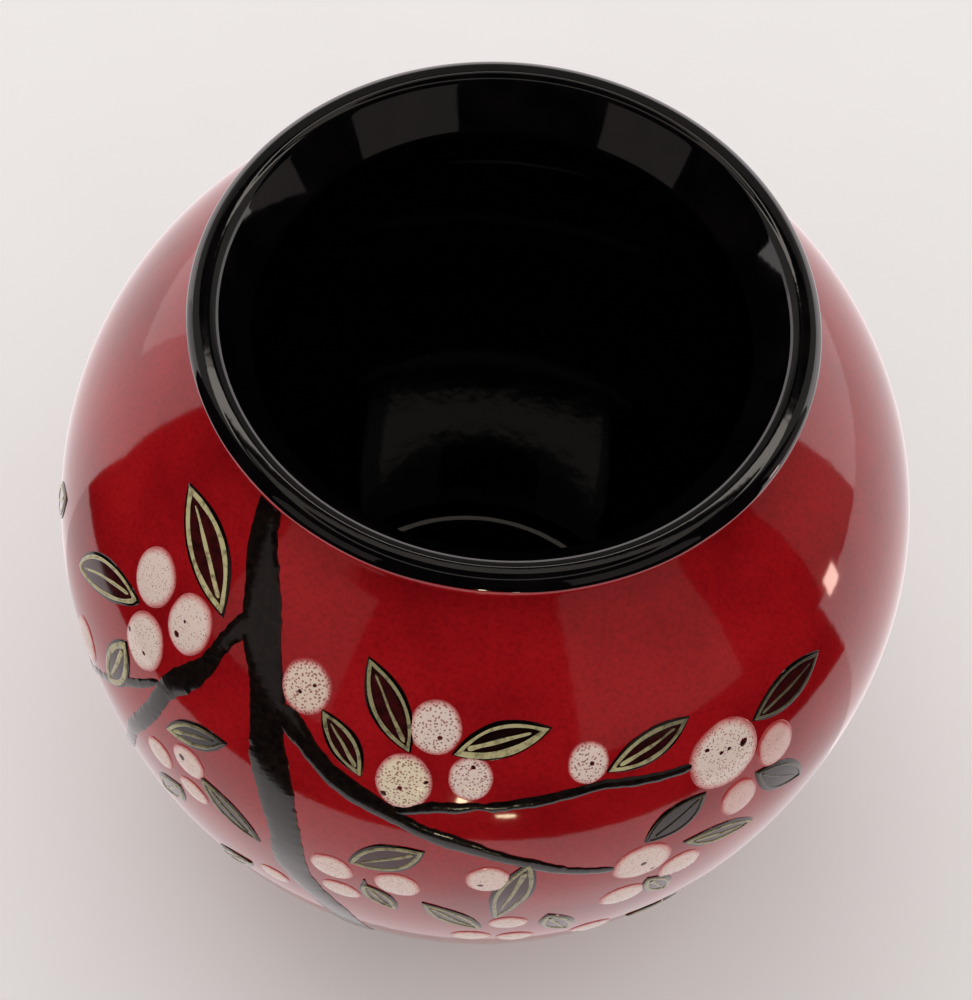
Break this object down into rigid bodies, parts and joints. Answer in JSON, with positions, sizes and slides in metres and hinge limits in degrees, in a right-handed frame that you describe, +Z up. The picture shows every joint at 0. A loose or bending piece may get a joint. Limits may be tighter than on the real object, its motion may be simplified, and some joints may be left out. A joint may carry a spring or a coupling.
{
  "type": "glazed vase",
  "caption": "Globular glazed stoneware vase with a rolled lip and a raised-glaze fruiting tree around the belly, for flowers or display.",
  "frame": {"origin": "centre of the foot, on the surface that the vase stands on", "axes": "+Z up along the pot's axis; -Y is the front, where the trunk runs up the left of the decoration; +X to the right"},
  "size_m": [0.2208, 0.2205, 0.2269],
  "materials": {
    "clay": "matt unglazed fired stoneware, seen on the foot ring and under the foot",
    "red_glaze": "deep translucent red gloss glaze",
    "black_glaze": "black mirror-gloss glaze",
    "branch_glaze": "brown-black gloss glaze laid on with a brush",
    "berry_glaze": "cream gloss glaze drops with dark pinholes and a pink edge",
    "leaf_ground_glaze": "maroon to black gloss glaze",
    "leaf_line_glaze": "khaki-green satin glaze lines"
  },
  "bodies": {
    "root": {"clay_body": "clay", "red_glaze": "red_glaze", "black_glaze": "black_glaze", "trunk": "branch_glaze", "left_bough": "branch_glaze", "left_fork": "branch_glaze", "right_bough": "branch_glaze", "upper_twig": "branch_glaze", "back_trunk": "branch_glaze", "back_left_bough": "branch_glaze", "back_right_bough": "branch_glaze", "back_low_boughs": "branch_glaze", "berries_left": "berry_glaze", "berries_by_trunk": "berry_glaze", "berries_centre": "berry_glaze", "berries_right": "berry_glaze", "berries_low_left": "berry_glaze", "berries_low_centre": "berry_glaze", "berries_low_right": "berry_glaze", "berries_under": "berry_glaze", "berries_back_left": "berry_glaze", "berries_back_right": "berry_glaze", "berries_back_low": "berry_glaze", "leaves_left": "leaf_ground_glaze", "leaves_centre": "leaf_ground_glaze", "leaves_right": "leaf_ground_glaze", "leaves_low_left": "leaf_ground_glaze", "leaves_low_centre": "leaf_ground_glaze", "leaves_low_right": "leaf_ground_glaze", "leaves_back": "leaf_ground_glaze", "leaf_lines_left": "leaf_line_glaze", "leaf_lines_centre": "leaf_line_glaze", "leaf_lines_right": "leaf_line_glaze", "leaf_lines_low_left": "leaf_line_glaze", "leaf_lines_low_centre": "leaf_line_glaze", "leaf_lines_low_right": "leaf_line_glaze", "leaf_lines_back": "leaf_line_glaze"}
  },
  "joints": []
}
